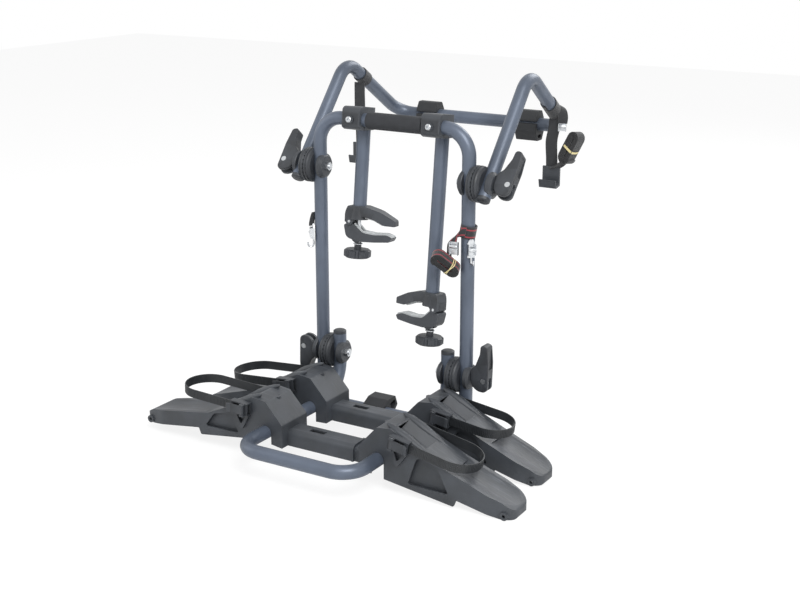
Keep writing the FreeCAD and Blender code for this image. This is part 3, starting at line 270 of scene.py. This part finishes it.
# in metres: one rib's length of the band, then the band's bend, near run, root and turned-in ends
rib_pitch = 0.004
band_base, band_rib, band_height = 0.0016, 0.0008, 0.020
rib_margin = 0.001
bend = 0.053
near = -0.0543
root_x, root_z = 0.200, -0.050
near_tail, far_tail = 0.026, 0.018
bpy.ops.object.select_all(action="DESELECT")
bpy.ops.mesh.primitive_cube_add(size=1.0)
step = bpy.context.object
step.scale = (rib_pitch, band_base, band_height)
step.location = (rib_pitch / 2, band_rib / 2, 0)
bpy.ops.object.transform_apply(location=True, rotation=True, scale=True)
edit_faces()
pick_faces(step, lambda face: abs(face.normal.x) > 0.9)
bpy.ops.mesh.delete(type="ONLY_FACE")
pick_faces(step, lambda face: face.normal.y < -0.9)
bpy.ops.mesh.inset(thickness=rib_margin)
bpy.ops.mesh.extrude_region_move(TRANSFORM_OT_translate={"value": (0, -band_rib, 0)})
bpy.ops.transform.resize(value=(0.8, 1, 0.97))
bpy.ops.object.mode_set(mode="OBJECT")

# straight length in millimetres from the buckle to the bend, and slope in degrees
strap_sizes = {"front_left": (128.0, -2.5), "front_right": (106.0, 11.0),
               "rear_left": (122.0, 4.5), "rear_right": (90.0, 7.5)}
for row, across in tray_rows.items():
    for hand, side in hands:
        straight, slope = strap_sizes[row + "_" + hand]
        out = straight / 1000 + near_tail
        whole = out + math.pi * bend + straight / 1000 + far_tail
        band = twin(step)
        ladder = band.modifiers.new("ribs", "ARRAY")
        ladder.count = round(whole / rib_pitch)
        ladder.use_relative_offset = False
        ladder.use_constant_offset = True
        ladder.constant_offset_displace = (rib_pitch, 0, 0)
        ladder.use_merge_vertices = True
        ladder.merge_threshold = 0.00005
        bpy.ops.object.select_all(action="DESELECT")
        band.select_set(True)
        bpy.context.view_layer.objects.active = band
        bpy.ops.object.modifier_apply(modifier="ribs")
        bpy.ops.object.mode_set(mode="EDIT")
        bpy.ops.mesh.select_all(action="SELECT")
        bpy.ops.mesh.fill_holes(sides=8)
        bpy.ops.object.mode_set(mode="OBJECT")
        stretch = whole / (round(whole / rib_pitch) * rib_pitch)
        turn = root_x + straight / 1000
        tip = Matrix.Rotation(math.radians(slope), 4, "Y")
        root = Vector((root_x, 0, root_z))
        for vertex in band.data.vertices:
            along, proud = vertex.co.x * stretch, vertex.co.y
            if along < out:
                at = Vector((turn - out + along, near + proud, 0))
            elif along < out + math.pi * bend:
                angle = (along - out) / bend
                reach = bend - proud
                at = Vector((turn + math.sin(angle) * reach, near + bend - math.cos(angle) * reach, 0))
            else:
                at = Vector((turn - (along - out - math.pi * bend), near + 2 * bend - proud, 0))
            at.z = vertex.co.z + root_z
            at = root + tip @ (at - root)
            vertex.co = Vector((side * at.x, at.y, at.z)) + spot(0, across, 0)
        if side < 0:
            band.data.flip_normals()
        node = "%s_strap_%s" % (row, hand)
        settle(band, "ladder_" + node, "platform", "strap_plastic", strap_plastic, node, angle=30)
bpy.data.objects.remove(step)


# Foam sleeve on the top bar: closed-cell foam tube slid on before the bar is bent.

foam, tree, shader = new_finish("closed_cell_foam")
place = put(tree, "ShaderNodeTexCoord").outputs["Object"]
cells = put(tree, "ShaderNodeTexVoronoi", {"Scale": 700.0}, {"Vector": place}).outputs["Distance"]
colour = cloudy(tree, place, 60.0, 4.0, "#232427", "#313337")[1]
# cells 1.4 mm across
bump = put(tree, "ShaderNodeBump", {"Strength": 0.5, "Distance": 0.0005}, {"Height": cells})
tree.links.new(bump.outputs["Normal"], shader.inputs["Normal"])
tree.links.new(colour, shader.inputs["Base Color"])
shader.inputs["Roughness"].default_value = 0.85
wear(foam, "foam_sleeve")


# Claw liners: pale soft rubber pressed into both jaws so that they don't mark a bike's paint.

liner, tree, shader = new_finish("soft_thermoplastic_rubber_pale")
place = put(tree, "ShaderNodeTexCoord").outputs["Object"]
colour = cloudy(tree, place, 60.0, 4.0, "#a3a7a9", "#c6c9ca")[1]
tree.links.new(colour, shader.inputs["Base Color"])
shader.inputs["Roughness"].default_value = 0.6
wear(liner, *[name for name in nodes if "liner" in name])


# Pads on the two cross bars: moulded rubber blocks clipped over the tube.

rubber, tree, shader = new_finish("moulded_rubber_matt")
place = put(tree, "ShaderNodeTexCoord").outputs["Object"]
colour = cloudy(tree, place, 30.0, 5.0, "#1e1f21", "#2b2d30")[1]
grain = put(tree, "ShaderNodeTexNoise", {"Scale": 700.0, "Detail": 2.0}, {"Vector": place}).outputs["Fac"]
bump = put(tree, "ShaderNodeBump", {"Strength": 0.3, "Distance": 0.0003}, {"Height": grain})
tree.links.new(bump.outputs["Normal"], shader.inputs["Normal"])
tree.links.new(colour, shader.inputs["Base Color"])
shader.inputs["Roughness"].default_value = 0.72
wear(rubber, "upper_pad_left", "upper_pad_right", "lower_pad_left", "lower_pad_right")


# Straps: woven polyester webbing 13 to 28 mm wide, plain weave with cords across the width. The
# right post's strap has a red stripe near each edge. Spare webbing is wound up under rubber bands.


def new_webbing(name, width, stripe=None):
    """Webbing whose pattern follows its own UV map, laid out in metres."""
    cloth, tree, shader = new_finish(name)
    lay = put(tree, "ShaderNodeUVMap")
    # weft cords 1.6 mm apart and warp threads 1.1 mm apart
    weft = put(tree, "ShaderNodeTexWave", {"Scale": 196.0, "Distortion": 0.4},
               {"Vector": lay.outputs["UV"]}, bands_direction="X")
    warp = put(tree, "ShaderNodeTexWave", {"Scale": 285.0, "Distortion": 0.3},
               {"Vector": lay.outputs["UV"]}, bands_direction="Y")
    weave = put(tree, "ShaderNodeMath", operation="MULTIPLY")
    tree.links.new(weft.outputs["Fac"], weave.inputs[0])
    tree.links.new(warp.outputs["Fac"], weave.inputs[1])
    tone = put(tree, "ShaderNodeValToRGB", links={"Fac": weave.outputs["Value"]})
    tone.color_ramp.elements[0].color = tint("#17181a")
    tone.color_ramp.elements[1].color = tint("#33353a")
    colour = tone.outputs["Color"]
    if stripe:
        # two stripes, 2.8 mm wide, with their middles 4.7 mm from the edges of the full width
        parts = put(tree, "ShaderNodeSeparateXYZ", links={"Vector": lay.outputs["UV"]})
        middle = put(tree, "ShaderNodeMath", {1: width / 2}, {0: parts.outputs["Y"]}, operation="SUBTRACT")
        away = put(tree, "ShaderNodeMath", links={0: middle.outputs["Value"]}, operation="ABSOLUTE")
        line = put(tree, "ShaderNodeMath", {1: width / 2 - 0.0047, 2: 0.0014},
                   {0: away.outputs["Value"]}, operation="COMPARE")
        mix = put(tree, "ShaderNodeMix", data_type="RGBA")
        tree.links.new(line.outputs["Value"], mix.inputs["Factor"])
        tree.links.new(colour, mix.inputs[6])
        mix.inputs[7].default_value = tint(stripe)
        colour = mix.outputs[2]
    bump = put(tree, "ShaderNodeBump", {"Strength": 0.6, "Distance": 0.0004},
               {"Height": weave.outputs["Value"]})
    tree.links.new(bump.outputs["Normal"], shader.inputs["Normal"])
    tree.links.new(colour, shader.inputs["Base Color"])
    shader.inputs["Roughness"].default_value = 0.78
    shader.inputs["Sheen Weight"].default_value = 0.25
    return cloth


def lay_webbing(path, width, thick, fine=6):
    """Webbing on a smooth line through (place, direction of its width), in millimetres from the hinge."""
    places, widths = [Vector(p) for p, w in path], [Vector(w).normalized() for p, w in path]
    line = []
    for i in range(len(places) - 1):
        p0, p1, p2 = places[max(i - 1, 0)], places[i], places[i + 1]
        p3 = places[min(i + 2, len(places) - 1)]
        for j in range(fine if i < len(places) - 2 else fine + 1):
            t = j / fine
            at = 0.5 * (2 * p1 + (p2 - p0) * t + (2 * p0 - 5 * p1 + 4 * p2 - p3) * t ** 2
                        + (3 * p1 - p0 - 3 * p2 + p3) * t ** 3)
            line.append((at, widths[i].lerp(widths[i + 1], t).normalized()))
    bpy.ops.object.select_all(action="DESELECT")
    bpy.ops.mesh.primitive_grid_add(x_subdivisions=len(line) - 1, y_subdivisions=4, size=1.0)
    strip = bpy.context.object
    run = [0.0]
    for start, end in zip(line, line[1:]):
        run.append(run[-1] + (end[0] - start[0]).length / 1000)
    uv = strip.data.uv_layers.active.data
    for loop in strip.data.loops:
        co = strip.data.vertices[loop.vertex_index].co
        uv[loop.index].uv = (run[round((co.x + 0.5) * (len(line) - 1))], (co.y + 0.5) * width / 1000)
    for vertex in strip.data.vertices:
        at, over = line[round((vertex.co.x + 0.5) * (len(line) - 1))]
        vertex.co = spot(*(at + over * (vertex.co.y * width)))
    cloth = strip.modifiers.new("thickness", "SOLIDIFY")
    cloth.thickness = thick / 1000
    cloth.offset = 0
    return strip


def turn_round(centre, axis, radius, turns, steps, drift=0.0):
    """Path round a tube, the webbing's width along the tube; a drift winds it along."""
    axis = Vector(axis).normalized()
    first = axis.cross(Vector((1, 0, 0)) if abs(axis.x) < 0.9 else Vector((0, 1, 0))).normalized()
    path = []
    for i in range(steps + 1):
        spin = Matrix.Rotation(math.radians(360 * turns * i / steps), 3, axis)
        path.append((Vector(centre) + spin @ (first * radius) + axis * (drift * (i / steps - 1)), axis))
    return path


def wound(centre, along, over, half, inner, outer, turns, steps=8):
    """Flat-wound spare webbing: a racetrack that grows from turn to turn."""
    along, over = Vector(along).normalized(), Vector(over).normalized()
    side = over.cross(along)
    path = []
    for k in range(2 * turns):
        radius = inner + (outer - inner) * k / (2 * turns - 1)
        sign = 1 if k % 2 == 0 else -1
        for i in range(steps + 1):
            angle = math.pi * i / steps
            run_out = along * (half + radius * math.sin(angle)) + side * (radius * math.cos(angle))
            path.append((Vector(centre) + run_out * sign, over))
    return path


webbing = new_webbing("woven_polyester_webbing", 0.028)
striped = new_webbing("woven_polyester_webbing_red_cords", 0.025, "#93303a")



def hang_webbing(name, path, width, thick, body, finish, fine=6):
    """Lay a length of webbing and put it in place of the CAD strap that it belongs to."""
    strip = lay_webbing(path, width, thick, fine)
    replaced = "upper_straps" if body == "upper_frame" else "post_straps"
    settle(strip, name, body, "webbing", finish, replaced, angle=60)


# upper straps: turns round the hoop's falling tube and the length that hangs down to the hook
apex, rear = Vector((234, 180, 642)), Vector((224, 399, 496))
loop_radius = 16.6
for hand, side, share, hang, turns, steps, drift in (("left", -1, 0.30, 164.0, 1.03, 25, 0.0),
                                                     ("right", 1, 0.72, 130.0, 2.4, 58, 46.0)):
    at = apex.lerp(rear, share)
    axis = Vector((side * (rear - apex).x, (rear - apex).y, (rear - apex).z))
    at.x *= side
    path = turn_round(at, axis, loop_radius, turns, steps, drift)
    hang_webbing("upper_strap_turn_" + hand, path, 28.0, 2.0, "upper_frame", webbing, fine=1)
    back, low = at.y - 9.0, at.z - hang
    path = [((at.x + side * 4, back + 1, at.z - 13), (1, 0, 0)),
            ((at.x + side * 3, back - 1, at.z - 35), (1, 0, 0)),
            ((at.x - 2, back - 1.5, at.z - 0.5 * hang), (1, 0.05, 0)),
            ((at.x - 1, back + 0.5, at.z - 0.8 * hang), (1, 0, 0)),
            ((at.x, back, low + 2), (1, 0, 0))]
    hang_webbing("upper_strap_fall_" + hand, path, 28.0, 2.0, "upper_frame", webbing)

# right-hand strap: the end over the tube that runs to the cam buckle, and its wound spare length
path = [((at.x - 12, at.y + 3, at.z + 19), (0.1, 1, -0.6)),
        ((at.x + 6, at.y - 1, at.z + 19.5), (0.3, 1, -0.6)),
        ((at.x + 19, at.y - 5, at.z + 10), (0.6, 0.9, -0.3)),
        ((at.x + 24, at.y - 9, at.z - 8), (0.9, 0.6, 0)),
        ((at.x + 24, at.y - 12, at.z - 22), (1, 0.4, 0))]
hang_webbing("upper_strap_end_right", path, 22.0, 2.4, "upper_frame", webbing)
upper_roll = Vector((at.x + 49, at.y - 13, at.z - 74))
upper_along, upper_over = Vector((0.42, 0, 0.91)), Vector((0.25, 1, -0.12))
path = wound(upper_roll, upper_along, upper_over, 24.0, 2.0, 15.5, 5)
hang_webbing("upper_strap_roll_right", path, 26.0, 2.1, "upper_frame", webbing, fine=1)
path = [(upper_roll + upper_along * -34, upper_over),
        (upper_roll + Vector((-28, -1, -44)), (0.7, 0.7, 0)),
        ((at.x + 6, at.y - 12, at.z - 126), (1, 0.1, 0))]
hang_webbing("upper_strap_link_right", path, 24.0, 2.2, "upper_frame", webbing)

# posts: the striped strap goes round the right post, down to its buckle and on to its spare length
path = turn_round((188, 0, 327), (0.2, 0, 1), 17.0, 372 / 360, 24)
hang_webbing("post_strap_turn_right", path, 27.0, 2.0, "main_frame", striped, fine=1)
path = [((192, -19.0, 328), (0.2, 0, 1)), ((180, -20, 326), (0.35, 0, 1)),
        ((169, -22, 317), (0.8, 0, 0.7)), ((163, -23, 305), (0.95, 0, 0.35)),
        ((162, -23.5, 292), (1, 0.1, 0.1)), ((163, -24, 280), (1, 0.2, 0))]
hang_webbing("post_strap_fall_right", path, 22.0, 2.0, "main_frame", striped)
path = [((158, -23, 303), (0.15, 1, 0)), ((156, -24, 286), (0.15, 1, 0)), ((157, -26, 268), (0.2, 1, 0))]
hang_webbing("post_strap_drop_right", path, 14.0, 2.0, "main_frame", striped)
path = wound((155, -37, 259), (35, 26, -34), (-0.35, 1, 0.4), 20.0, 2.0, 14.5, 5)
hang_webbing("post_strap_roll_right", path, 24.0, 2.2, "main_frame", striped, fine=1)
path = [((-205, -4, 322), (0.2, 1, 0)), ((-207, -7, 312), (0.3, 1, 0)), ((-207, -11, 300), (0.5, 1, 0)),
        ((-206, -13, 292), (0.7, 0.8, 0))]
hang_webbing("post_strap_tab_left", path, 13.0, 2.0, "main_frame", webbing)

# natural rubber bands round both rolls: one flat loop on the upper one, two crossed on the lower one
latex, tree, shader = new_finish("natural_rubber_band")
place = put(tree, "ShaderNodeTexCoord").outputs["Object"]
colour = cloudy(tree, place, 260.0, 2.0, "#c9b878", "#e6dbae")[1]
tree.links.new(colour, shader.inputs["Base Color"])
shader.inputs["Roughness"].default_value = 0.5


def band_round(centre, along, over, flat, deep):
    """Loop stretched round a roll; flat and deep are half its width and depth."""
    along, over = Vector(along).normalized(), Vector(over).normalized()
    side = over.cross(along).normalized()
    path = []
    squareness, steps = 0.45, 24
    for i in range(steps + 1):
        c, s = math.cos(2 * math.pi * i / steps), math.sin(2 * math.pi * i / steps)
        wide = side * (flat * math.copysign(abs(c) ** squareness, c))
        thick = over * (deep * math.copysign(abs(s) ** squareness, s))
        path.append((Vector(centre) + wide + thick, along))
    return path


path = band_round(upper_roll - upper_along * 3, upper_along + Vector((0.2, 0, 0)), upper_over, 16.0, 14.0)
settle(lay_webbing(path, 5.0, 0.9, 1), "rubber_band_upper", "upper_frame", "webbing", latex, angle=60)
for name, lean in (("rubber_band_low_a", 0.22), ("rubber_band_low_b", -0.2)):
    path = band_round((162, -32, 252), (0.63, 0.47 + lean, -0.61 + lean), (-0.35, 1, 0.4), 17.0, 13.4)
    settle(lay_webbing(path, 1.8, 0.9, 1), name, "main_frame", "webbing", latex, angle=60)


# Small cam buckles on the straps: a pressed and zinc-plated plate with two cheeks and a round cam.

sheet_metal, cheek_metal, cheek_depth = 0.0016, 0.0014, 0.006
cam_radius, cam_forward = 0.0042, 0.0045


def cam_plate(name, centre, tall, wide, turn, body):
    """A buckle of the given height and width in millimetres, turned about the vertical."""
    bpy.ops.object.select_all(action="DESELECT")
    bpy.ops.mesh.primitive_cube_add(size=1.0)
    plate = bpy.context.object
    plate.scale = (wide / 1000, sheet_metal, tall / 1000)
    bpy.ops.object.transform_apply(location=True, rotation=True, scale=True)
    edit_faces()
    pick_faces(plate, lambda face: abs(face.normal.x) > 0.9)
    bpy.ops.mesh.extrude_faces_move(TRANSFORM_OT_shrink_fatten={"value": cheek_metal})
    pick_faces(plate, lambda face: face.normal.y < -0.9 and abs(face.center.x) > wide / 2000)
    bpy.ops.mesh.extrude_region_move(TRANSFORM_OT_translate={"value": (0, -cheek_depth, 0)})
    bpy.ops.object.mode_set(mode="OBJECT")
    bpy.ops.mesh.primitive_cylinder_add(vertices=20, radius=cam_radius, depth=wide / 1000,
                                        location=(0, -cam_forward, tall / 6000),
                                        rotation=(0, math.pi / 2, 0))
    cam = bpy.context.object
    for part, label, edge in ((plate, name, 0.0006), (cam, name + "_cam", 0.0008)):
        soft = part.modifiers.new("rolled edges", "BEVEL")
        soft.width = edge
        soft.segments = 2
        bpy.ops.object.select_all(action="DESELECT")
        part.select_set(True)
        bpy.context.view_layer.objects.active = part
        bpy.ops.object.modifier_apply(modifier="rolled edges")
        bpy.ops.object.transform_apply(location=True, rotation=True, scale=True)
        turned = Matrix.Rotation(math.radians(turn), 4, "Z")
        part.data.transform(Matrix.Translation(spot(*centre)) @ turned)
        settle(part, label, body, "zinc_steel", zinc)


cam_plate("upper_strap_buckle", (at.x + 25, at.y - 14, at.z - 30), 17, 15, 20, "upper_frame")
cam_plate("post_strap_buckle_small", (169, -26.0, 292), 28, 17, 8, "main_frame")


# Studio: pale floor that runs into the backdrop, one large soft lamp, a fill and the world.

bpy.ops.object.select_all(action="DESELECT")
bpy.ops.mesh.primitive_plane_add(size=14, location=(0, 0, -0.0005))
floor = bpy.context.object
floor.name = "studio_floor"
paper, tree, shader = new_finish("white_studio_paper")
shader.inputs["Base Color"].default_value = tint("#fafafa")
shader.inputs["Roughness"].default_value = 0.9
# the paper is burnt out to white as in the photograph, and keeps a faint shadow
white = put(tree, "ShaderNodeEmission", {"Color": (1, 1, 1, 1), "Strength": 1.06})
seen = put(tree, "ShaderNodeLightPath").outputs["Is Camera Ray"]
share = put(tree, "ShaderNodeMath", {1: 0.8}, {0: seen}, operation="MULTIPLY")
blend = put(tree, "ShaderNodeMixShader",
            links={0: share.outputs["Value"], 1: shader.outputs["BSDF"], 2: white.outputs["Emission"]})
tree.links.new(blend.outputs["Shader"], tree.nodes["Material Output"].inputs["Surface"])
wear(paper, floor)

world = bpy.data.worlds.new("studio")
bpy.context.scene.world = world
world.use_nodes = True
backdrop = world.node_tree.nodes["Background"]
backdrop.inputs["Color"].default_value = (1, 1, 1, 1)
# plain white to the camera and in reflections, dimmer as a light
seen = put(world.node_tree, "ShaderNodeLightPath").outputs
clear = put(world.node_tree, "ShaderNodeMath",
            links={0: seen["Is Camera Ray"], 1: seen["Is Glossy Ray"]}, operation="MAXIMUM")
power = put(world.node_tree, "ShaderNodeMapRange", {"To Min": 0.48, "To Max": 1.0},
            {"Value": clear.outputs["Value"]})
world.node_tree.links.new(power.outputs["Result"], backdrop.inputs["Strength"])

for name, stand, size, power in (("key", (2.4, -2.2, 3.4), 2.2, 165), ("fill", (-3.2, -1.6, 1.8), 2.4, 26),
                                 ("rim", (0.6, 3.0, 2.6), 2.0, 55)):
    lamp = bpy.data.lights.new(name, "AREA")
    lamp.size = size
    lamp.energy = power
    holder = bpy.data.objects.new(name, lamp)
    bpy.context.collection.objects.link(holder)
    holder.location = stand
    aim = Vector((0, 0, 0.4)) - Vector(stand)
    holder.rotation_euler = aim.to_track_quat("-Z", "Y").to_euler()

# the camera stands as the photograph's did: 31.05 degrees round to the right and 16.69 degrees up
camera = bpy.data.cameras.new("camera")
camera.lens = 59.69
camera.sensor_width = 36
eye = bpy.data.objects.new("camera", camera)
bpy.context.collection.objects.link(eye)
eye.location = (1.49385, -2.42098, 1.15812)
eye.rotation_euler = (math.radians(90 - 16.69), 0, math.radians(31.05))
bpy.context.scene.camera = eye
bpy.context.scene.view_settings.view_transform = "Standard"
